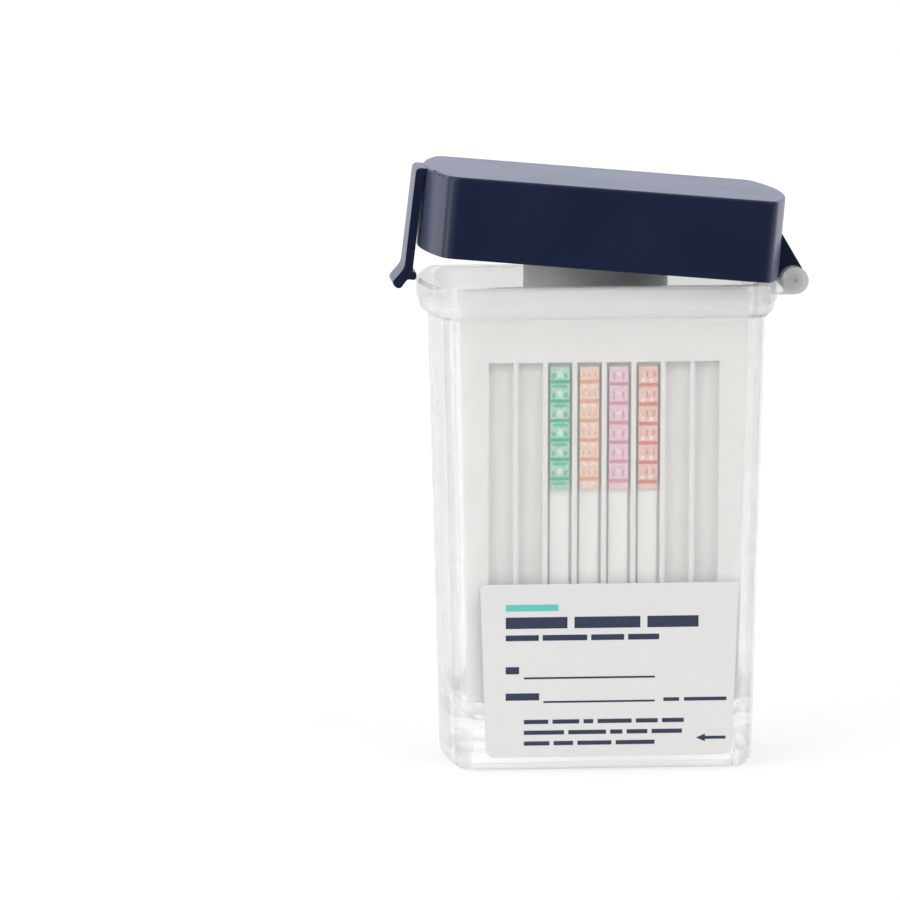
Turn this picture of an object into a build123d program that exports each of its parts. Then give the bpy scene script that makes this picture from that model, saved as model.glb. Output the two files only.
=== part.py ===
from build123d import *
import os
from math import cos, radians, sin, sqrt, tan

os.makedirs("parts", exist_ok=True)

# Driving dimensions in millimetres and degrees.
# +X is the hinge side, -Y the front with the strips, z = 0 the underside of the base.

# Cup, one clear moulding with bowed ends, whose walls lean out by the draft
cup_height = 80.0
rim_width = 59.2
rim_depth = 36.4
rim_corner = 2.8
end_bow = 51.5
rim_upper_height = 3.0
rim_lower_height = 2.2
rim_step = 0.4
rim_edge_chamfer = 0.6
rim_overhang = 1.7
draft = 1.5
wall = 1.3
wall_corner = 3.0
cavity_corner = 1.0
floor_top = 8.2
floor_thick = 1.4
ledge_top = 11.4
ledge_width = 0.8
sump_corner = 2.9
sump_round = 2.4
base_round = 2.0
foot_wall = 2.7
foot_corner = 1.0

# Hinge: the ears of the cup, the pin through them and the lid's knuckle between them
hinge_reach = 2.0
ear_radius = 2.25
ear_thick = 2.6
ear_span = 20.6
pin_radius = 1.1
pin_fit = 0.02
pin_dimple = 0.45
pin_dimple_deep = 0.25
knuckle_radius = 2.2
knuckle_running = 0.05
knuckle_side_gap = 0.2
knuckle_relief = 0.2
gusset_slope = 54.7

# Lid, modelled ajar as it rests, turned open about the hinge
rest_opening = 4.9
lid_seat_gap = 0.1
lid_end_overhang = 0.1
lid_height = 13.25
lid_wall = 1.4
lid_corner = 2.4
lid_edge_round = 0.45

# Latch strap moulded with the lid, in the sprung shape that lets it pass the rim
strap_width = 10.0
strap_thick = 1.4
strap_gap = 0.15
strap_lean = 2.0
strap_top_drop = 0.2
strap_shoulder_round = 0.8
bridge_thick = 1.1
bridge_round = 0.4
hook_clearance = 0.15
hook_top = 4.0
hook_height = 1.3
hook_round = 0.4
lip_start = 3.5
lip_reach = 1.8
lip_bottom = 7.2
lip_thick = 1.1
lip_bend = 2.6
lip_round = 0.7

# Strip carrier, a panel of open channels on a drained platform
carrier_gap = 0.3
carrier_thick = 2.2
carrier_side_gap = 0.8
carrier_top = 79.2
carrier_corner = 1.0
platform_thick = 1.2
platform_gap = 0.15
channel_count = 8
channel_pitch = 4.8
channel_width = 4.0
channel_depth = 1.35
channel_top = 67.5
drain_radius = 0.9
drain_count = 6
ring_wall = 0.9
ring_height = 1.6
ring_gap = 0.15

# Collector port, a stepped tube whose collar stands above the rim
port_gap = 1.7
port_wall = 1.1
port_shoulder = 2.6
port_rise = 2.5
port_socket_depth = 16.0
port_cone = 5.0
port_foot_flange = 1.3
port_foot_thick = 1.2

# Test strips, with heights measured up the front wall
strip_count = 4
first_strip_channel = 2
strip_width = 3.1
strip_top = 66.7
strip_bottom = 9.8
backing_thick = 0.35
membrane_bottom = 21.0
membrane_top = 48.7
membrane_thick = 0.15
conjugate_bottom = 13.5
conjugate_top = 23.0
conjugate_thick = 0.3
sample_top = 15.5
sample_thick = 0.35
absorbent_bottom = 46.6
absorbent_thick = 0.5
tape_thick = 0.1

# Label, a rounded trapezium that follows the draft
label_bottom = 2.4
label_top = 31.2
label_width_bottom = 40.4
label_width_top = 42.4
label_offset = 0.9
label_thick = 0.12
label_corner_bottom = 1.5
label_corner_top = 0.8

# Places worked out from the sizes above
rim_height = rim_upper_height + rim_lower_height
lean = tan(radians(draft))
hinge_x = rim_width / 2 + hinge_reach
hinge_z = cup_height
lid_width = rim_width + 2 * lid_end_overhang
lid_depth = rim_depth
platform_top = ledge_top + platform_thick


def bow_reach(width, bow, y):
    """Distance of a bowed end from the middle of a plan of that width, at a distance y off its axis."""
    return width / 2 - bow + sqrt(bow**2 - y**2)


def bowed_plan(plane, width, depth, bow, corner):
    """Plan with a straight front and back, ends bowed to a radius, and rounded corners."""
    end = bow_reach(width, bow, depth / 2)
    with BuildSketch(plane) as plan:
        with BuildLine():
            Line((-end, -depth / 2), (end, -depth / 2))
            ThreePointArc((end, -depth / 2), (width / 2, 0), (end, depth / 2))
            Line((end, depth / 2), (-end, depth / 2))
            ThreePointArc((-end, depth / 2), (-width / 2, 0), (-end, -depth / 2))
        make_face()
        fillet(plan.vertices(), corner)
    return plan.sketch


def wall_inset(height, inset=0.0):
    """How far the drafted wall stands in from the rim at a height, plus an inset from its outside."""
    return rim_overhang + (cup_height - height) * lean + inset


def rim_plan(plane, inset, corner):
    """Plan of the cup an inset in from the outside of its rim."""
    return bowed_plan(plane, rim_width - 2 * inset, rim_depth - 2 * inset, end_bow - inset, corner)


def drafted_block(bottom, top, inset, corner, mode=Mode.ADD):
    """Block whose sides rise from a plan at its bottom, parallel to the drafted wall."""
    plan = rim_plan(Plane.XY.offset(bottom), wall_inset(bottom, inset), corner)
    extrude(plan, amount=top - bottom, taper=-draft, mode=mode)


# The front wall's own plane: x to the hinge side, y up the wall, z out of the cup
front_wall = Plane(
    origin=(0, wall_inset(0) - rim_depth / 2, 0),
    x_dir=(1, 0, 0),
    z_dir=(0, -cos(radians(draft)), -sin(radians(draft))),
)

# Cup: drafted box, two-tier rim, raised floor with a sump, and a hollow skirt under it
sump_inset = wall_inset(floor_top, wall + ledge_width)
ear_root = hinge_x - bow_reach(rim_width, end_bow, ear_span / 2) + rim_step
with BuildPart() as cup:
    drafted_block(0, cup_height, 0, wall_corner)
    fillet(cup.edges().group_by(Axis.Z)[0], base_round)
    extrude(rim_plan(Plane.XY.offset(cup_height - rim_height), rim_step, rim_corner), amount=rim_lower_height)
    rim_underside = cup.faces().filter_by(Plane.XY).sort_by(Axis.Z)[1]
    chamfer(rim_underside.outer_wire().edges(), rim_edge_chamfer)
    extrude(rim_plan(Plane.XY.offset(cup_height - rim_upper_height), 0, rim_corner), amount=rim_upper_height)
    chamfer(cup.edges().group_by(Axis.Z)[-1], rim_edge_chamfer)
    drafted_block(ledge_top, cup_height, wall, cavity_corner, Mode.SUBTRACT)
    # Sump under the carrier's platform, narrower by a ledge on three sides but not at the front
    sump_plane = Plane((0, -ledge_width, floor_top))
    extrude(rim_plan(sump_plane, sump_inset, sump_corner), amount=ledge_top - floor_top, mode=Mode.SUBTRACT)
    sump_floor = cup.faces().filter_by(Plane.XY).filter_by_position(Axis.Z, floor_top, floor_top)[0]
    fillet(sump_floor.edges(), sump_round)
    # Hollow skirt below the floor, with a thick rounded foot
    drafted_block(0, floor_top - floor_thick, foot_wall, foot_corner, Mode.SUBTRACT)
    # Scallop in the rim that clears the lid's knuckle, and the bored ears beside it
    with BuildSketch(Plane.XZ):
        with Locations((hinge_x, hinge_z)):
            Circle(knuckle_radius + knuckle_relief)
    extrude(amount=ear_span / 2 - ear_thick, both=True, mode=Mode.SUBTRACT)
    for side in (-1, 1):
        with BuildSketch(Plane.XZ.offset(side * ear_span / 2)):
            with Locations((hinge_x, hinge_z)):
                Circle(ear_radius)
            with Locations((hinge_x, hinge_z - ear_radius)):
                Rectangle(ear_root, ear_radius, align=(Align.MAX, Align.MIN))
        extrude(amount=-side * ear_thick)
    with BuildSketch(Plane.XZ.offset(ear_span / 2)):
        with Locations((hinge_x, hinge_z)):
            Circle(pin_radius + pin_fit)
    extrude(amount=-ear_span, mode=Mode.SUBTRACT)
cup.part.label = "cup"
export_step(cup.part, "parts/cup.step")

# Hinge pin, flush with the ears, with a small dimple in each end
with BuildPart() as hinge_pin:
    with BuildSketch(Plane.XZ.offset(ear_span / 2)):
        with Locations((hinge_x, hinge_z)):
            Circle(pin_radius)
    extrude(amount=-ear_span)
    for side in (-1, 1):
        with BuildSketch(Plane.XZ.offset(side * ear_span / 2)):
            with Locations((hinge_x, hinge_z)):
                Circle(pin_dimple)
        extrude(amount=-side * pin_dimple_deep, mode=Mode.SUBTRACT)
hinge_pin.part.label = "hinge_pin"
export_step(hinge_pin.part, "parts/hinge_pin.step")

# The lid's own planes, turned open about the hinge axis, with x = z = 0 on that axis
lid_frame = Plane(Location((hinge_x, 0, hinge_z), (0, rest_opening, 0)))
lid_front = Plane(origin=lid_frame.origin, x_dir=lid_frame.x_dir, z_dir=-lid_frame.y_dir)
lid_base_middle = lid_frame.from_local_coords((-hinge_x, 0, lid_seat_gap))
lid_base = Plane(origin=lid_base_middle, x_dir=lid_frame.x_dir, z_dir=lid_frame.z_dir)
lid_latch_end = -hinge_x - lid_width / 2
lid_hinge_end = -hinge_x + lid_width / 2


def lid_plan(inset, corner):
    """Plan of the lid on its lower edge, an inset in from its outside."""
    return bowed_plan(lid_base, lid_width - 2 * inset, lid_depth - 2 * inset, end_bow - inset, corner)


# The strap's profile, drawn out from the lid's latch wall and up from its lower edge
bridge_top = lid_height - strap_top_drop
bridge_bottom = bridge_top - bridge_thick
hook_tip = rim_width / 2 + hook_clearance - lid_width / 2
hook_bottom = hook_top + hook_height


def strap_inside(up):
    """Distance of the leaning strap's inner face from the latch wall at a height."""
    return strap_gap + (bridge_top - up) * tan(radians(strap_lean))


strap_corners = [
    (-lid_wall / 2, bridge_top, 0),
    (strap_inside(bridge_top) + strap_thick, bridge_top, strap_shoulder_round),
    (strap_inside(-lip_start) + strap_thick, -lip_start, lip_bend),
    (strap_inside(-lip_bottom) + strap_thick + lip_reach, lip_thick - lip_bottom, lip_round),
    (strap_inside(-lip_bottom) + lip_reach, -lip_bottom, lip_round),
    (strap_inside(-hook_bottom) + strap_thick / 2, -hook_bottom, lip_round),
    (hook_tip, -hook_bottom, hook_round),
    (hook_tip, -hook_top, hook_round),
    (strap_inside(-hook_top), -hook_top, 0),
    (strap_inside(bridge_bottom), bridge_bottom, bridge_round),
    (-lid_wall / 2, bridge_bottom, 0),
]

# The gusset's sloping edge is tangent to the knuckle and runs up to the lid's hinge wall
knuckle_width = ear_span - 2 * ear_thick - 2 * knuckle_side_gap
slope_x = sin(radians(gusset_slope))
slope_z = cos(radians(gusset_slope))


def gusset_height(x):
    """Height of the gusset's sloping edge above the hinge axis."""
    return (knuckle_radius - x * slope_x) / slope_z


# Lid: deep hollow cover with the latch strap at one end and the hinge knuckle at the other
with BuildPart() as lid:
    extrude(lid_plan(0, lid_corner), amount=lid_height)
    fillet(lid.faces().sort_by(Axis((0, 0, 0), lid_frame.z_dir))[-1].edges(), lid_edge_round)
    extrude(lid_plan(lid_wall, lid_corner - lid_wall), amount=lid_height - lid_wall, mode=Mode.SUBTRACT)
    # Latch strap: a bridge from the lid, the strap, its finger lip and its hook
    with BuildSketch(lid_front):
        with BuildLine():
            FilletPolyline(
                [(lid_latch_end - out, lid_seat_gap + up) for out, up, _ in strap_corners],
                radius=[corner_round for _, _, corner_round in strap_corners],
                close=True,
            )
        make_face()
    extrude(amount=strap_width / 2, both=True)
    # Gusset and knuckle
    with BuildSketch(lid_front):
        root = lid_hinge_end - lid_wall / 2
        with BuildLine():
            Polyline(
                (root, lid_seat_gap),
                (root, gusset_height(root)),
                (knuckle_radius * slope_x, knuckle_radius * slope_z),
                (0, lid_seat_gap),
                close=True,
            )
        make_face()
        Circle(knuckle_radius)
    extrude(amount=knuckle_width / 2, both=True)
    with BuildSketch(lid_front):
        Circle(pin_radius + knuckle_running)
    extrude(amount=knuckle_width / 2, both=True, mode=Mode.SUBTRACT)
lid.part.label = "lid"
export_step(lid.part, "parts/lid.step")

# The port stands midway between the carrier and the back wall, and its collar fills that room
port_offset = (carrier_gap + carrier_thick) / 2
collar_top = cup_height + port_rise
cone_top = collar_top - port_socket_depth
cone_bottom = cone_top - port_cone
port_room = rim_depth / 2 - wall_inset(cone_top, wall) - port_offset
port_collar_bore = port_room - port_gap - port_wall
port_tube_bore = port_collar_bore - port_shoulder
port_foot_radius = port_tube_bore + port_wall + port_foot_flange
drain_circle = (port_tube_bore + drain_radius) / 2

# Strip carrier: a leaning panel with open channels, and the platform that stands on the ledge
carrier_face = -(wall + carrier_gap)
channel_bottom = ledge_top - platform_thick
panel_bottom = ledge_top + platform_thick / 2


def panel_half(up):
    """Half the carrier panel's width at a height, set in from the cup's inner front corners."""
    inset = wall_inset(up, wall)
    return bow_reach(rim_width - 2 * inset, end_bow - inset, rim_depth / 2 - inset) - carrier_side_gap


with BuildPart() as strip_carrier:
    drafted_block(ledge_top, platform_top, wall + platform_gap, cavity_corner - platform_gap)
    with BuildSketch(front_wall.offset(carrier_face)) as panel:
        with BuildLine():
            Polyline(
                (-panel_half(panel_bottom), panel_bottom),
                (panel_half(panel_bottom), panel_bottom),
                (panel_half(carrier_top), carrier_top),
                (-panel_half(carrier_top), carrier_top),
                close=True,
            )
        make_face()
        fillet(panel.vertices().group_by(Axis.Y)[-1], carrier_corner)
    extrude(amount=-carrier_thick)
    with BuildSketch(front_wall.offset(-wall)):
        with Locations((0, (channel_bottom + channel_top) / 2)):
            with GridLocations(channel_pitch, 1, channel_count, 1):
                Rectangle(channel_width, channel_top - channel_bottom)
    extrude(amount=-(carrier_gap + channel_depth), mode=Mode.SUBTRACT)
    # Ring that centres the port's foot, and the drains under the port
    with BuildSketch(Plane.XY.offset(platform_top)):
        with Locations((0, port_offset)):
            Circle(port_foot_radius + ring_gap + ring_wall)
            Circle(port_foot_radius + ring_gap, mode=Mode.SUBTRACT)
    extrude(amount=ring_height)
    with BuildSketch(Plane.XY.offset(platform_top)):
        with Locations((0, port_offset)):
            Circle(drain_radius)
            with PolarLocations(drain_circle, drain_count):
                Circle(drain_radius)
    extrude(amount=-platform_thick, mode=Mode.SUBTRACT)
strip_carrier.part.label = "strip_carrier"
export_step(strip_carrier.part, "parts/strip_carrier.step")

# Collector port: a turned tube with a foot, a narrow squeeze bore and a wide collar
foot_top = platform_top + port_foot_thick
with BuildPart() as collector_port:
    with BuildSketch(Plane.XZ.offset(-port_offset)):
        with BuildLine():
            Polyline(
                (port_tube_bore, platform_top),
                (port_foot_radius, platform_top),
                (port_foot_radius, foot_top),
                (port_tube_bore + port_wall, foot_top),
                (port_tube_bore + port_wall, cone_bottom),
                (port_collar_bore + port_wall, cone_top),
                (port_collar_bore + port_wall, collar_top),
                (port_collar_bore, collar_top),
                (port_collar_bore, cone_top),
                (port_tube_bore, cone_bottom),
                close=True,
            )
        make_face()
    revolve(axis=Axis((0, port_offset, 0), (0, 0, 1)))
collector_port.part.label = "collector_port"
export_step(collector_port.part, "parts/collector_port.step")

# Layers of one test strip, as side profiles up the wall and out from the channel's floor
on_backing = backing_thick
on_membrane = on_backing + membrane_thick
on_conjugate = on_membrane + conjugate_thick
on_sample = on_conjugate + sample_thick
on_absorbent = on_membrane + absorbent_thick
on_tape = on_absorbent + tape_thick


def flat_layer(bottom, top, inside, outside):
    """Profile of a layer that lies flat."""
    return [(bottom, inside), (top, inside), (top, outside), (bottom, outside)]


def lapped_layer(bottom, lap, top, low, high, outside):
    """Profile of a pad that rises from one level to another where it laps over a layer."""
    return [(bottom, low), (lap, low), (lap, high), (top, high), (top, outside), (bottom, outside)]


strip_layers = {
    "backing_card": flat_layer(strip_bottom, strip_top, 0, on_backing),
    "membrane": flat_layer(membrane_bottom, membrane_top, on_backing, on_membrane),
    "conjugate_pad": lapped_layer(
        conjugate_bottom, membrane_bottom, conjugate_top, on_backing, on_membrane, on_conjugate
    ),
    "sample_pad": lapped_layer(
        strip_bottom, conjugate_bottom, sample_top, on_backing, on_conjugate, on_sample
    ),
    "absorbent_pad": lapped_layer(
        absorbent_bottom, membrane_top, strip_top, on_membrane, on_backing, on_absorbent
    ),
    "cover_tape": flat_layer(absorbent_bottom, strip_top, on_absorbent, on_tape),
}

for strip in range(strip_count):
    strip_x = (first_strip_channel + strip - (channel_count - 1) / 2) * channel_pitch
    strip_side = Plane(
        origin=front_wall.from_local_coords((strip_x, 0, carrier_face - channel_depth)),
        x_dir=front_wall.y_dir,
        z_dir=front_wall.x_dir,
    )
    for layer_name, profile in strip_layers.items():
        with BuildPart() as layer:
            with BuildSketch(strip_side):
                with BuildLine():
                    Polyline(profile, close=True)
                make_face()
            extrude(amount=strip_width / 2, both=True)
        layer.part.label = f"strip_{strip + 1}_{layer_name}"
        export_step(layer.part, f"parts/{layer.part.label}.step")

# Front label on the wall below the strips' windows
with BuildPart() as front_label:
    with BuildSketch(front_wall) as label_outline:
        with BuildLine():
            Polyline(
                (label_offset - label_width_bottom / 2, label_bottom),
                (label_offset + label_width_bottom / 2, label_bottom),
                (label_offset + label_width_top / 2, label_top),
                (label_offset - label_width_top / 2, label_top),
                close=True,
            )
        make_face()
        fillet(label_outline.vertices().group_by(Axis.Y)[0], label_corner_bottom)
        fillet(label_outline.vertices().group_by(Axis.Y)[-1], label_corner_top)
    extrude(amount=label_thick)
front_label.part.label = "front_label"
export_step(front_label.part, "parts/front_label.step")
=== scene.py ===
from math import cos, pi, radians, sin, tan

import bpy
from mathutils import Matrix, Vector


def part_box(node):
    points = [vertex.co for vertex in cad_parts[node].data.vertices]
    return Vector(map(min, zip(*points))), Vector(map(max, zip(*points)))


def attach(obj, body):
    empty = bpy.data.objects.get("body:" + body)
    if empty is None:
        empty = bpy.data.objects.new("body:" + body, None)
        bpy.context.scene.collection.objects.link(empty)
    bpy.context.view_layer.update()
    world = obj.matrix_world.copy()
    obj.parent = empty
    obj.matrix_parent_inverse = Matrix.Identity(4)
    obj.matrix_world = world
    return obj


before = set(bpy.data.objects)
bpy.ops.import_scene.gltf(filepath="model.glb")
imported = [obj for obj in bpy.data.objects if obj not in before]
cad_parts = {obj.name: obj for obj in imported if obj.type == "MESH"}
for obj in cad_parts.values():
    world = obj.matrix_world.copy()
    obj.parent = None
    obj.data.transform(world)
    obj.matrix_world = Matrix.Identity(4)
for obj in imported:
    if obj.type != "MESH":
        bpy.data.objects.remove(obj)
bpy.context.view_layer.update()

# Cup: the clear box that holds everything, one injection moulding in a clear styrene copolymer.
# Its two-tier rim and hinge ears come from the same shot, straight out of a polished mould.

FLOW_WAVE_MM = 9.0
SCUFF_MM = 2.5
# Where the thick places start, over what length they fade in, and how clear and how solid each place is.
FOOT_TOP_MM, FOOT_FADE_MM = 11.0, 2.0
RIM_BOTTOM_MM, RIM_FADE_MM = 75.0, 1.0
EAR_START_MM, EAR_FADE_MM = 29.4, 0.5
FOOT_CLEAR, WALL_CLEAR, RIM_CLEAR, EAR_CLEAR = 0.92, 0.93, 0.6, 0.3
WALL_SOLID, EAR_SOLID = 0.65, 0.9


def srgb(hex_code):
    """Linear colour of an sRGB hex value."""
    channels = [int(hex_code[place:place + 2], 16) / 255 for place in (1, 3, 5)]
    return tuple(c / 12.92 if c <= 0.04045 else ((c + 0.055) / 1.055) ** 2.4 for c in channels) + (1.0,)


def add(tree, kind, inputs=None, **settings):
    """Adds a shader node, with its settings, and each input as a value or as a link from another node."""
    node = tree.nodes.new("ShaderNode" + kind)
    for name, value in settings.items():
        setattr(node, name, value)
    for socket, value in (inputs or {}).items():
        if isinstance(value, bpy.types.NodeSocket):
            tree.links.new(value, node.inputs[socket])
        else:
            node.inputs[socket].default_value = value
    return node


def new_material(name):
    """An empty material and its node tree."""
    material = bpy.data.materials.new(name)
    material.use_nodes = True
    material.node_tree.nodes.clear()
    return material, material.node_tree


def dress(material, *node_names):
    """Gives CAD nodes their finish."""
    for node_name in node_names:
        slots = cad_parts[node_name].data.materials
        slots.clear()
        slots.append(material)


def per_mm(size_mm):
    """Texture scale for a pattern of that size, in coordinates of metres."""
    return 1000 / size_mm


# Clear styrene copolymer from a polished mould: its thin walls are almost clear and bend little light, and
# the thick rim and ears turn milky. Where a wall is seen at a low angle its colour is painted greyer, a
# painted shade along its edges.
# A slow flow wave and a few scuffs break up its highlights, and lamps shine through it on to what it holds.
clear_plastic, tree = new_material("clear styrene copolymer, polished mould")
place = add(tree, "TexCoord").outputs["Object"]
flow = add(tree, "TexNoise", {"Vector": place, "Scale": per_mm(FLOW_WAVE_MM), "Detail": 1.0})
scuffs = add(tree, "TexNoise", {"Vector": place, "Scale": per_mm(SCUFF_MM), "Detail": 5.0})
gloss = add(
    tree,
    "MapRange",
    {"Value": scuffs.outputs["Fac"], "From Min": 0.45, "From Max": 0.75, "To Min": 0.02, "To Max": 0.06},
)
wave = add(tree, "Bump", {"Height": flow.outputs["Fac"], "Strength": 0.06, "Distance": 0.0005})
where = add(tree, "SeparateXYZ", {"Vector": place}).outputs
foot_clear = add(
    tree,
    "MapRange",
    {
        "Value": where["Z"],
        "From Min": (FOOT_TOP_MM - FOOT_FADE_MM) / 1000,
        "From Max": FOOT_TOP_MM / 1000,
        "To Min": FOOT_CLEAR,
        "To Max": WALL_CLEAR,
    },
)
rim_clear = add(
    tree,
    "MapRange",
    {
        "Value": where["Z"],
        "From Min": (RIM_BOTTOM_MM - RIM_FADE_MM) / 1000,
        "From Max": RIM_BOTTOM_MM / 1000,
        "To Min": WALL_CLEAR,
        "To Max": RIM_CLEAR,
    },
)
box_clear = add(
    tree, "Math", {0: foot_clear.outputs["Result"], 1: rim_clear.outputs["Result"]}, operation="MINIMUM"
)
ears = {
    "Value": where["X"],
    "From Min": EAR_START_MM / 1000,
    "From Max": (EAR_START_MM + EAR_FADE_MM) / 1000,
}
ear_clear = add(tree, "MapRange", {**ears, "To Min": WALL_CLEAR, "To Max": EAR_CLEAR})
solid_share = add(tree, "MapRange", {**ears, "To Min": WALL_SOLID, "To Max": EAR_SOLID})
clearness = add(
    tree, "Math", {0: box_clear.outputs["Value"], 1: ear_clear.outputs["Result"]}, operation="MINIMUM"
)
# Painted shade: the base colour turns grey where the surface is seen at a low angle.
edge = add(tree, "LayerWeight", {"Blend": 0.3})
painted_edge_shade = add(
    tree,
    "Mix",
    {"Factor": edge.outputs["Facing"], "A": srgb("#F9F9F8"), "B": srgb("#B2B6B6")},
    data_type="RGBA",
)
shell = add(
    tree,
    "BsdfPrincipled",
    {
        "Base Color": painted_edge_shade.outputs["Result"],
        "Roughness": gloss.outputs["Result"],
        "IOR": 1.49,
        "Transmission Weight": clearness.outputs["Value"],
        "Alpha": solid_share.outputs["Result"],
        "Normal": wave.outputs["Normal"],
    },
)
through = add(tree, "BsdfTransparent", {"Color": srgb("#F4F5F5")})
rays = add(tree, "LightPath")
lit_through = add(
    tree,
    "MixShader",
    {0: rays.outputs["Is Shadow Ray"], 1: shell.outputs["BSDF"], 2: through.outputs["BSDF"]},
)
add(tree, "OutputMaterial", {"Surface": lit_through.outputs["Shader"]})
dress(clear_plastic, "cup")

# Strip carrier: the milky panel behind the front wall, with a channel for each strip and a drained foot.
# Injection moulded in natural polypropylene and pushed down into the cup until it stands on the ledge.

# The mould grain is too fine to show, so it is drawn coarser.
MILKY_GRAIN_MM = 0.7
MILKY_CLOUD_MM = 14.0

# Natural polypropylene: milky white, soft at its edges, with a satin mould grain and faint clouding.
milky_plastic, tree = new_material("natural polypropylene, satin moulded")
place = add(tree, "TexCoord").outputs["Object"]
cloud = add(tree, "TexNoise", {"Vector": place, "Scale": per_mm(MILKY_CLOUD_MM), "Detail": 2.0})
tint = add(
    tree,
    "Mix",
    {"Factor": cloud.outputs["Fac"], "A": srgb("#E2E0DE"), "B": srgb("#E8E7E5")},
    data_type="RGBA",
)
grain = add(tree, "TexNoise", {"Vector": place, "Scale": per_mm(MILKY_GRAIN_MM), "Detail": 3.0})
bump = add(tree, "Bump", {"Height": grain.outputs["Fac"], "Strength": 0.08, "Distance": 0.0001})
body = add(
    tree,
    "BsdfPrincipled",
    {
        "Base Color": tint.outputs["Result"],
        "Roughness": 0.42,
        "IOR": 1.49,
        "Normal": bump.outputs["Normal"],
    },
)
add(tree, "OutputMaterial", {"Surface": body.outputs["BSDF"]})
dress(milky_plastic, "strip_carrier")

# Port: the round collar that shows in the gap under the lid, on a stepped tube behind the panel.
# Moulded in low density polyethylene, and it stands in the carrier's ring.

# The frosting is too fine to show, so it is drawn coarser.
FROST_MM = 1.2

# Low density polyethylene: grey and frosted, so that it passes light without showing what is behind it.
frosted_plastic, tree = new_material("low density polyethylene, frosted")
place = add(tree, "TexCoord").outputs["Object"]
frost = add(tree, "TexNoise", {"Vector": place, "Scale": per_mm(FROST_MM), "Detail": 4.0})
haze = add(
    tree,
    "MapRange",
    {"Value": frost.outputs["Fac"], "From Min": 0.3, "From Max": 0.7, "To Min": 0.36, "To Max": 0.5},
)
body = add(
    tree,
    "BsdfPrincipled",
    {
        "Base Color": srgb("#D3D6D6"),
        "Roughness": haze.outputs["Result"],
        "IOR": 1.51,
        "Transmission Weight": 0.45,
    },
)
add(tree, "OutputMaterial", {"Surface": body.outputs["BSDF"]})
dress(frosted_plastic, "collector_port")

# Test strips: four laminated strips, one in each of four channels, each built up on a backing card.
# The membrane, the pads and the cover tape lap over each other and are held by the card's adhesive.

STRIPS = (1, 2, 3, 4)
CARD_GRAIN_MM = 1.5
# Pores and fibres are too fine to show, so they are drawn coarser.
MEMBRANE_PORE_MM = 0.4
FIBRE_MM = 0.35


def strip_nodes(layer):
    """The four strips' nodes of one layer."""
    return [f"strip_{strip}_{layer}" for strip in STRIPS]


# Backing card: white vinyl sheet, smooth and slightly glossy.
backing_card, tree = new_material("white vinyl backing card")
place = add(tree, "TexCoord").outputs["Object"]
grain = add(tree, "TexNoise", {"Vector": place, "Scale": per_mm(CARD_GRAIN_MM), "Detail": 2.0})
tint = add(
    tree,
    "Mix",
    {"Factor": grain.outputs["Fac"], "A": srgb("#F1F0EE"), "B": srgb("#F7F6F4")},
    data_type="RGBA",
)
body = add(tree, "BsdfPrincipled", {"Base Color": tint.outputs["Result"], "Roughness": 0.35})
add(tree, "OutputMaterial", {"Surface": body.outputs["BSDF"]})
dress(backing_card, *strip_nodes("backing_card"))

# Nitrocellulose membrane: dead matt white with a fine pore grain.
membrane, tree = new_material("nitrocellulose membrane")
place = add(tree, "TexCoord").outputs["Object"]
pores = add(tree, "TexNoise", {"Vector": place, "Scale": per_mm(MEMBRANE_PORE_MM), "Detail": 2.0})
tint = add(
    tree,
    "Mix",
    {"Factor": pores.outputs["Fac"], "A": srgb("#EAE9E6"), "B": srgb("#F4F3F1")},
    data_type="RGBA",
)
bump = add(tree, "Bump", {"Height": pores.outputs["Fac"], "Strength": 0.15, "Distance": 0.00005})
body = add(
    tree,
    "BsdfPrincipled",
    {"Base Color": tint.outputs["Result"], "Roughness": 0.8, "Normal": bump.outputs["Normal"]},
)
add(tree, "OutputMaterial", {"Surface": body.outputs["BSDF"]})
dress(membrane, *strip_nodes("membrane"))

# Glass fibre and cellulose pads: matted fibres, off-white and rough.
PAD_COLOURS = {
    "conjugate_pad": ("glass fibre pad", "#E9DFDB", "#F3ECE8"),
    "sample_pad": ("cellulose sample pad", "#EFEDE6", "#F8F6F0"),
    "absorbent_pad": ("cellulose absorbent pad", "#F0EFEA", "#F8F7F3"),
}
for layer, (finish_name, dark, light) in PAD_COLOURS.items():
    pad, tree = new_material(finish_name)
    place = add(tree, "TexCoord").outputs["Object"]
    fibres = add(
        tree,
        "TexNoise",
        {"Vector": place, "Scale": per_mm(FIBRE_MM), "Detail": 4.0, "Distortion": 1.5},
    )
    tint = add(
        tree,
        "Mix",
        {"Factor": fibres.outputs["Fac"], "A": srgb(dark), "B": srgb(light)},
        data_type="RGBA",
    )
    bump = add(tree, "Bump", {"Height": fibres.outputs["Fac"], "Strength": 0.4, "Distance": 0.0001})
    body = add(
        tree,
        "BsdfPrincipled",
        {"Base Color": tint.outputs["Result"], "Roughness": 0.95, "Normal": bump.outputs["Normal"]},
    )
    add(tree, "OutputMaterial", {"Surface": body.outputs["BSDF"]})
    dress(pad, *strip_nodes(layer))

# Cover tapes: the coloured film over the top of each strip, printed with a cross line in each repeat.
# The lines and the small marks between them are print on the film, so they lie a hair in front of it.

WALL_LEAN = radians(1.5)
INK_STANDOFF_MM = 0.015
TAPE_REPEAT_MM = 3.2
TAPE_LINE_MM = 0.6
OVAL_SIDES = 12
# The print's dot screen is too fine to show, so it is drawn coarser. It covers this share of film and ink.
FILM_SPECK_MM = 0.45
FILM_SPECK_SHARE, INK_SPECK_SHARE = 0.6, 0.3
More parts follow.
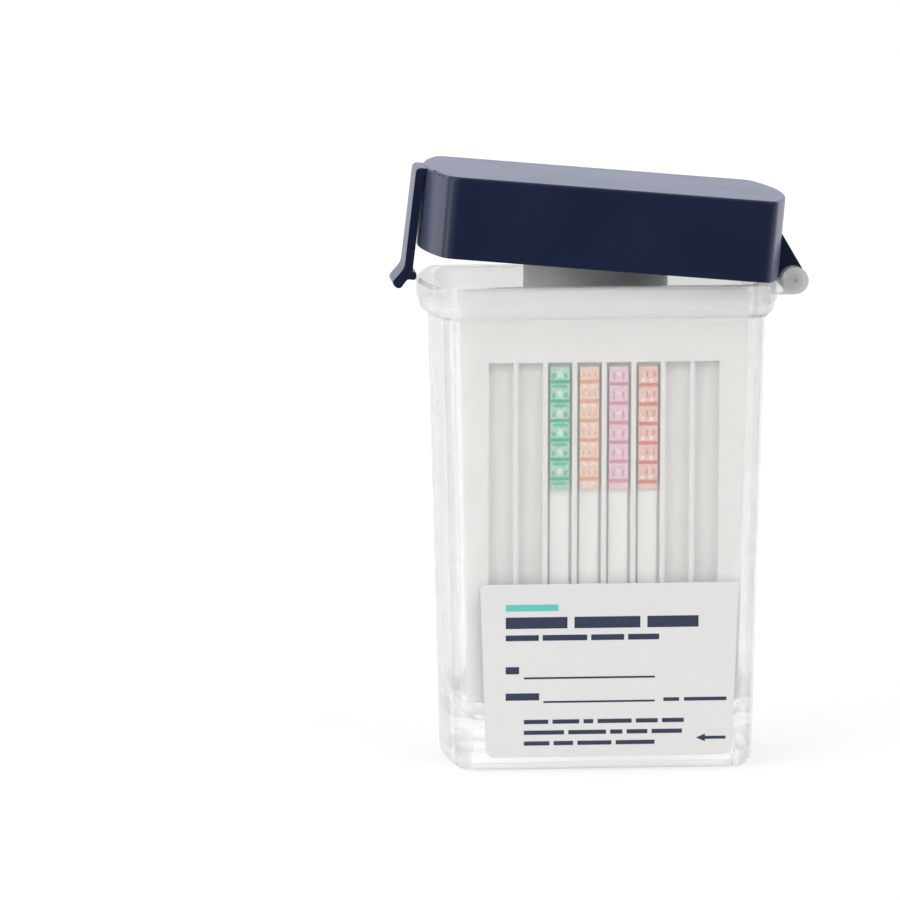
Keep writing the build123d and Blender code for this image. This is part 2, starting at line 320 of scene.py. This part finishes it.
# Each tape's colours, the height of its lowest line, and its marks in one repeat, in millimetres: ink,
# places across, height over the line, and half width and height.
TAPES = {
    "green": {
        "inks": {"film": "#92CCB2", "line": "#3CAD7E", "deep": "#68BC98", "pale": "#DCEAE2"},
        "first_line": 1.75,
        "marks": [
            ("deep", (0.0,), -0.75, (1.3, 0.35)),
            ("deep", (-1.0, 0.95), 0.95, (0.3, 0.5)),
            ("pale", (0.0,), 1.2, (0.42, 0.6)),
        ],
    },
    "peach": {
        "inks": {"film": "#E8C2B2", "line": "#DFA182", "deep": "#E1B19B", "pale": "#F3E2D8"},
        "first_line": 1.7,
        "marks": [
            ("pale", (-0.75, 0.6), -0.75, (0.4, 0.3)),
            ("deep", (-0.95, 0.0, 0.95), 1.1, (0.16, 0.4)),
        ],
    },
    "pink": {
        "inks": {"film": "#E1BDC5", "line": "#CE8BA1", "deep": "#D3A1B1", "pale": "#EEDEE2"},
        "first_line": 1.3,
        "marks": [
            ("deep", (-0.8, 0.75), 1.3, (0.2, 0.75)),
            ("pale", (0.0,), 1.6, (0.4, 0.3)),
        ],
    },
    "salmon": {
        "inks": {"film": "#E2AFA4", "line": "#D57E71", "deep": "#DA998D", "pale": "#F4E6DE"},
        "first_line": 1.09,
        "marks": [
            ("pale", (-0.85, 0.5), 0.75, (0.34, 0.34)),
            ("deep", (-0.2, 0.95), 1.7, (0.2, 0.6)),
        ],
    },
}


def leaning_sheet(node_name):
    """Maps millimetres across, up and out from the lower middle of a sheet that leans with the wall."""
    low, high = (Vector(corner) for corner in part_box(node_name))
    foot = Vector(((low.x + high.x) / 2, low.y + (high.z - low.z) * tan(WALL_LEAN), low.z))
    up_wall = Vector((0, -sin(WALL_LEAN), cos(WALL_LEAN)))
    outward = Vector((0, -cos(WALL_LEAN), -sin(WALL_LEAN)))

    def placed(across, up, out=INK_STANDOFF_MM):
        return foot + (Vector((across, 0, 0)) + up_wall * up + outward * out) / 1000

    return placed


def bar(left, right, middle, height):
    """Outline of a plain printed bar."""
    return [
        (left, middle - height / 2),
        (right, middle - height / 2),
        (right, middle + height / 2),
        (left, middle + height / 2),
    ]


def print_shapes(name, placed, outlines, ink):
    """Flat printed shapes in one ink on a sheet of the cup's front."""
    vertices = []
    faces = []
    for outline in outlines:
        faces.append(range(len(vertices), len(vertices) + len(outline)))
        vertices.extend(placed(across, up) for across, up in outline)
    mesh = bpy.data.meshes.new(name)
    mesh.from_pydata(vertices, [], faces)
    mesh.materials.append(ink)
    shapes = bpy.data.objects.new(name, mesh)
    bpy.context.collection.objects.link(shapes)
    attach(shapes, "cup")
    return shapes


def printed_film(name, colour, speck, speck_most):
    """Printed polyester film: an even tint with a fine dot screen, under a slight gloss."""
    material, tree = new_material(name)
    place = add(tree, "TexCoord").outputs["Object"]
    screen = add(tree, "TexNoise", {"Vector": place, "Scale": per_mm(FILM_SPECK_MM), "Detail": 2.0})
    tone = add(
        tree,
        "MapRange",
        {
            "Value": screen.outputs["Fac"],
            "From Min": 0.3,
            "From Max": 0.7,
            "To Min": 0.0,
            "To Max": speck_most,
        },
    )
    tint = add(
        tree,
        "Mix",
        {"Factor": tone.outputs["Result"], "A": srgb(colour), "B": srgb(speck)},
        data_type="RGBA",
    )
    body = add(tree, "BsdfPrincipled", {"Base Color": tint.outputs["Result"], "Roughness": 0.4})
    add(tree, "OutputMaterial", {"Surface": body.outputs["BSDF"]})
    return material


def oval(across, up, half_width, half_height):
    """Outline of a small printed oval."""
    turns = [2 * pi * step / OVAL_SIDES for step in range(OVAL_SIDES)]
    return [(across + half_width * cos(turn), up + half_height * sin(turn)) for turn in turns]


for strip, (colour, tape) in zip(STRIPS, TAPES.items()):
    tape_node = f"strip_{strip}_cover_tape"
    low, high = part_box(tape_node)
    half_width = (high[0] - low[0]) * 1000 / 2
    tape_height = (high[2] - low[2]) * 1000 / cos(WALL_LEAN)
    inks = tape["inks"]
    film = printed_film(f"{colour} printed film", inks["film"], inks["pale"], FILM_SPECK_SHARE)
    dress(film, tape_node)
    line_count = int((tape_height - tape["first_line"]) / TAPE_REPEAT_MM) + 1
    lines = [tape["first_line"] + TAPE_REPEAT_MM * count for count in range(line_count)]
    cross_lines = [bar(-half_width, half_width, up, TAPE_LINE_MM) for up in lines]
    printed = {"line": cross_lines, "deep": [], "pale": []}
    for line in lines:
        for ink, places, up, (half_across, half_up) in tape["marks"]:
            if half_up < line + up < tape_height - half_up:
                printed[ink] += [oval(across, line + up, half_across, half_up) for across in places]
    placed = leaning_sheet(tape_node)
    for ink, outlines in printed.items():
        ink_film = printed_film(f"{colour} {ink} ink", inks[ink], inks["film"], INK_SPECK_SHARE)
        shapes = print_shapes(f"strip_{strip}_tape_{ink}", placed, outlines, ink_film)

# Front label: a white coated paper label stuck on the lower half of the front wall.
# It is printed in navy and teal, with blank lines to write on and an arrow to its peel edge.

# The paper's fibre and the ink's mottle are too fine to show, so they are drawn coarser.
PAPER_FIBRE_MM = 0.8
INK_MOTTLE_MM = 0.6

# Coated label paper: near white with a faint fibre, and a low sheen from the coating.
label_paper, tree = new_material("coated label paper")
place = add(tree, "TexCoord").outputs["Object"]
fibre = add(
    tree,
    "TexNoise",
    {"Vector": place, "Scale": per_mm(PAPER_FIBRE_MM), "Detail": 4.0, "Distortion": 0.8},
)
tint = add(
    tree,
    "Mix",
    {"Factor": fibre.outputs["Fac"], "A": srgb("#ECEBEA"), "B": srgb("#F1F0EF")},
    data_type="RGBA",
)
bump = add(tree, "Bump", {"Height": fibre.outputs["Fac"], "Strength": 0.06, "Distance": 0.00005})
body = add(
    tree,
    "BsdfPrincipled",
    {"Base Color": tint.outputs["Result"], "Roughness": 0.5, "Normal": bump.outputs["Normal"]},
)
add(tree, "OutputMaterial", {"Surface": body.outputs["BSDF"]})
dress(label_paper, "front_label")


def printing_ink(name, thin, full):
    """Offset ink on coated paper: a solid colour with a slight mottle and the paper's own sheen."""
    material, tree = new_material(name)
    place = add(tree, "TexCoord").outputs["Object"]
    mottle = add(tree, "TexNoise", {"Vector": place, "Scale": per_mm(INK_MOTTLE_MM), "Detail": 3.0})
    tint = add(
        tree,
        "Mix",
        {"Factor": mottle.outputs["Fac"], "A": srgb(thin), "B": srgb(full)},
        data_type="RGBA",
    )
    body = add(tree, "BsdfPrincipled", {"Base Color": tint.outputs["Result"], "Roughness": 0.48})
    add(tree, "OutputMaterial", {"Surface": body.outputs["BSDF"]})
    return material


def word_bars(left, middle, height, lengths, gap):
    """A line of print as plain bars, one for each word's length."""
    outlines = []
    for length in lengths:
        outlines.append(bar(left, left + length, middle, height))
        left += length + gap
    return outlines


# Places on the label in millimetres, across from its middle and up from its lower edge.
TEXT_LEFT, NOTE_LEFT, RULE_RIGHT = -17.0, -14.0, 7.5
RULE_THICK, WORD_THICK, NOTE_THICK, NOTE_GAP = 0.32, 1.2, 0.7, 0.7
# Lines of bars: left end, height of the middle, thickness, word lengths, and the gap between words.
HEAD_LINES = [
    (TEXT_LEFT, 22.4, 1.9, (10.1, 10.8, 8.4), 1.15),
    (TEXT_LEFT, 19.9, 0.95, (5.4, 7.3, 5.4, 5.1), 0.65),
]
# Blank lines to write on: length and height of the word in front, and left end and height of the rule.
FILL_LINES = [(2.2, 14.5, -14.0, 13.2), (5.5, 10.1, -10.8, 9.2)]
DATE_LINE = (8.9, 9.4, 0.6, (2.6, 7.0), 0.8)
# Small print: height of the middle, and word lengths.
NOTE_LINES = [
    (5.9, (4.0, 4.4, 1.6, 5.6, 3.6, 3.6)),
    (4.1, (6.6, 6.2, 2.0, 3.4, 5.0)),
    (2.3, (4.2, 3.2, 5.6, 6.4)),
]
ARROW_TIP, ARROW_TAIL, ARROW_UP, ARROW_THICK = 14.3, 19.2, 2.9, 0.5
ARROW_HEAD, ARROW_HALF, SHAFT_START = 1.5, 0.65, 0.9
TEAL_LINE = (TEXT_LEFT, 24.9, 1.1, (8.6,), 0)

navy_shapes = []
for line in HEAD_LINES:
    navy_shapes += word_bars(*line)
for word_length, word_up, rule_left, rule_up in FILL_LINES:
    navy_shapes.append(bar(TEXT_LEFT, TEXT_LEFT + word_length, word_up, WORD_THICK))
    navy_shapes.append(bar(rule_left, RULE_RIGHT, rule_up, RULE_THICK))
navy_shapes += word_bars(*DATE_LINE)
for middle, lengths in NOTE_LINES:
    navy_shapes += word_bars(NOTE_LEFT, middle, NOTE_THICK, lengths, NOTE_GAP)
head_end = ARROW_TIP + ARROW_HEAD
navy_shapes.append(bar(ARROW_TIP + ARROW_HEAD * SHAFT_START, ARROW_TAIL, ARROW_UP, ARROW_THICK))
navy_shapes.append(
    [(ARROW_TIP, ARROW_UP), (head_end, ARROW_UP - ARROW_HALF), (head_end, ARROW_UP + ARROW_HALF)]
)
teal_shapes = word_bars(*TEAL_LINE)
placed = leaning_sheet("front_label")
navy_ink = printing_ink("navy printing ink", "#343C58", "#262E4A")
teal_ink = printing_ink("teal printing ink", "#74DACD", "#5ACFC0")
print_shapes("label_navy_print", placed, navy_shapes, navy_ink)
print_shapes("label_teal_print", placed, teal_shapes, teal_ink)

# Hinge pin: a pale moulded pin pushed through the two ears and the lid's knuckle, flush at both ends.
# It is acetal, so that the knuckle turns on it dry.

# The grain is too fine to show, so it is drawn coarser.
PIN_GRAIN_MM = 0.5

# Acetal: pale and waxy, with a faint turned grain on its ends.
pale_plastic, tree = new_material("acetal, moulded")
place = add(tree, "TexCoord").outputs["Object"]
grain = add(tree, "TexNoise", {"Vector": place, "Scale": per_mm(PIN_GRAIN_MM), "Detail": 2.0})
tint = add(
    tree,
    "Mix",
    {"Factor": grain.outputs["Fac"], "A": srgb("#D2D3CF"), "B": srgb("#DCDDD9")},
    data_type="RGBA",
)
body = add(tree, "BsdfPrincipled", {"Base Color": tint.outputs["Result"], "Roughness": 0.35})
add(tree, "OutputMaterial", {"Surface": body.outputs["BSDF"]})
dress(pale_plastic, "hinge_pin")

# Lid: the deep navy cover, moulded in one piece with its latch strap, finger lip, hook and hinge knuckle.
# It turns on the pin, and it rests ajar with its hook just outside the rim.

# The mould grain is too fine to show, so it is drawn coarser.
LID_GRAIN_MM = 0.6
LID_BLOOM_MM = 18.0

# Coloured polypropylene: a dark navy body with a fine satin mould grain, so that it picks up soft
# lavender reflections where it is seen at a low angle.
navy_plastic, tree = new_material("navy polypropylene, satin moulded")
place = add(tree, "TexCoord").outputs["Object"]
bloom = add(tree, "TexNoise", {"Vector": place, "Scale": per_mm(LID_BLOOM_MM), "Detail": 3.0})
tint = add(
    tree,
    "Mix",
    {"Factor": bloom.outputs["Fac"], "A": srgb("#111B36"), "B": srgb("#172241")},
    data_type="RGBA",
)
satin = add(
    tree,
    "MapRange",
    {"Value": bloom.outputs["Fac"], "From Min": 0.3, "From Max": 0.7, "To Min": 0.3, "To Max": 0.36},
)
grain = add(tree, "TexNoise", {"Vector": place, "Scale": per_mm(LID_GRAIN_MM), "Detail": 2.0})
bump = add(tree, "Bump", {"Height": grain.outputs["Fac"], "Strength": 0.05, "Distance": 0.0001})
body = add(
    tree,
    "BsdfPrincipled",
    {
        "Base Color": tint.outputs["Result"],
        "Roughness": satin.outputs["Result"],
        "IOR": 1.49,
        "Specular IOR Level": 0.32,
        "Sheen Weight": 0.45,
        "Sheen Roughness": 0.4,
        "Sheen Tint": srgb("#B4BBE4"),
        "Normal": bump.outputs["Normal"],
    },
)
add(tree, "OutputMaterial", {"Surface": body.outputs["BSDF"]})
dress(navy_plastic, "lid")

# Table: a white laminate top that ends just in front of the view.
# It is lit up to white where it is looked at, so that only the cup's own shadow shows on it.

TABLE_FRONT, TABLE_BACK, TABLE_SIDE = -0.17, 2.5, 1.6
NEAR_CUP, FAR_OFF = 0.05, 0.6
GLOW_NEAR, GLOW_FAR, GLOW_IN_PLASTIC = 0.64, 0.73, 0.8
table_white, tree = new_material("white laminate table")
rays = add(tree, "LightPath").outputs
through = add(tree, "Math", {0: rays["Is Glossy Ray"], 1: rays["Is Transmission Ray"]}, operation="MAXIMUM")
seen = add(tree, "Math", {0: rays["Is Camera Ray"], 1: through.outputs["Value"]}, operation="MAXIMUM")
matt = add(tree, "BsdfDiffuse", {"Color": srgb("#E9E9E9")})
shaded = add(tree, "BsdfDiffuse", {"Color": srgb("#A5A5A5")})
place = add(tree, "TexCoord").outputs["Object"]
away = add(tree, "VectorMath", {0: place}, operation="LENGTH")
level = add(
    tree,
    "MapRange",
    {
        "Value": away.outputs["Value"],
        "From Min": NEAR_CUP,
        "From Max": FAR_OFF,
        "To Min": GLOW_NEAR,
        "To Max": GLOW_FAR,
    },
)
in_plastic = add(tree, "Math", {0: rays["Is Transmission Ray"], 1: GLOW_IN_PLASTIC}, operation="MULTIPLY")
bright = add(tree, "Math", {0: level.outputs["Result"], 1: in_plastic.outputs["Value"]}, operation="MAXIMUM")
glow = add(tree, "Emission", {"Strength": bright.outputs["Value"]})
white = add(tree, "AddShader", {0: shaded.outputs["BSDF"], 1: glow.outputs["Emission"]})
top = add(tree, "MixShader", {0: seen.outputs["Value"], 1: matt.outputs["BSDF"], 2: white.outputs["Shader"]})
add(tree, "OutputMaterial", {"Surface": top.outputs["Shader"]})
table_mesh = bpy.data.meshes.new("table")
table_mesh.from_pydata(
    [
        (-TABLE_SIDE, TABLE_FRONT, 0),
        (TABLE_SIDE, TABLE_FRONT, 0),
        (TABLE_SIDE, TABLE_BACK, 0),
        (-TABLE_SIDE, TABLE_BACK, 0),
    ],
    [],
    [(0, 1, 2, 3)],
)
table_mesh.materials.append(table_white)
table = bpy.data.objects.new("table", table_mesh)
bpy.context.collection.objects.link(table)

# Room: white behind and on the left, and dim in front on the right, which gives the lid its dark front.
# It is plain white where it is looked at, straight or through the plastic.

BRIGHT_WAY = (-0.45, 0.9, 0.0)
DIM_END, BRIGHT_END, DIM_LEVEL = -0.75, 0.1, 0.18
scene = bpy.context.scene
scene.view_settings.view_transform = "Standard"
room = bpy.data.worlds.new("studio room")
scene.world = room
room.use_nodes = True
tree = room.node_tree
tree.nodes.clear()
way = add(tree, "TexCoord").outputs["Generated"]
towards = add(tree, "VectorMath", {0: way, 1: BRIGHT_WAY}, operation="DOT_PRODUCT")
dimmed = add(
    tree,
    "MapRange",
    {
        "Value": towards.outputs["Value"],
        "From Min": DIM_END,
        "From Max": BRIGHT_END,
        "To Min": DIM_LEVEL,
        "To Max": 1.0,
    },
)
rays = add(tree, "LightPath").outputs
seen = add(tree, "Math", {0: rays["Is Camera Ray"], 1: rays["Is Transmission Ray"]}, operation="MAXIMUM")
level = add(tree, "Math", {0: seen.outputs["Value"], 1: dimmed.outputs["Result"]}, operation="MAXIMUM")
glow = add(tree, "Background", {"Color": srgb("#FFFFFF"), "Strength": level.outputs["Value"]})
add(tree, "OutputWorld", {"Surface": glow.outputs["Background"]})

# Lamps: two large soft boxes in front, one on each side, and a small one low on the left.
# The small one puts the pale band on the bow of the lid's latch end.

AIM = Vector((0, 0, 0.05))


def soft_box(name, position, size, power):
    """A square soft box aimed at the middle of the object."""
    lamp = bpy.data.lights.new(name, "AREA")
    lamp.size = size
    lamp.energy = power
    holder = bpy.data.objects.new(name, lamp)
    holder.location = position
    aim = AIM - Vector(position)
    holder.rotation_euler = aim.to_track_quat("-Z", "Y").to_euler()
    bpy.context.collection.objects.link(holder)


soft_box("right_lamp", position=(0.7, -0.75, 0.95), size=0.7, power=5.4)
soft_box("left_lamp", position=(-0.8, -0.7, 0.6), size=0.7, power=4.6)
soft_box("strip_lamp", position=(-0.9, -0.2, 0.15), size=0.35, power=1.2)

# Camera: a long lens in front of the cup, a little to its left and above it, as in the photograph.
# Its place and its turn were fitted to the cup's edges.

CAMERA_PLACE = Vector((-0.09292, -0.9762, 0.19318))
YAW, PITCH, ROLL = radians(4.032), radians(8.252), radians(-0.069)
forward = Vector((sin(YAW) * cos(PITCH), cos(YAW) * cos(PITCH), -sin(PITCH)))
right = Vector((cos(YAW), -sin(YAW), 0))
turned = Matrix.Rotation(-ROLL, 3, forward)
side = turned @ right
upward = turned @ right.cross(forward)
camera_data = bpy.data.cameras.new("camera")
camera_data.sensor_width = 36.0
camera_data.lens = 240.0
camera_data.clip_end = 20.0
camera = bpy.data.objects.new("camera", camera_data)
facing = Matrix((side, upward, -forward)).transposed().to_4x4()
camera.matrix_world = Matrix.Translation(CAMERA_PLACE) @ facing
bpy.context.collection.objects.link(camera)
scene.camera = camera
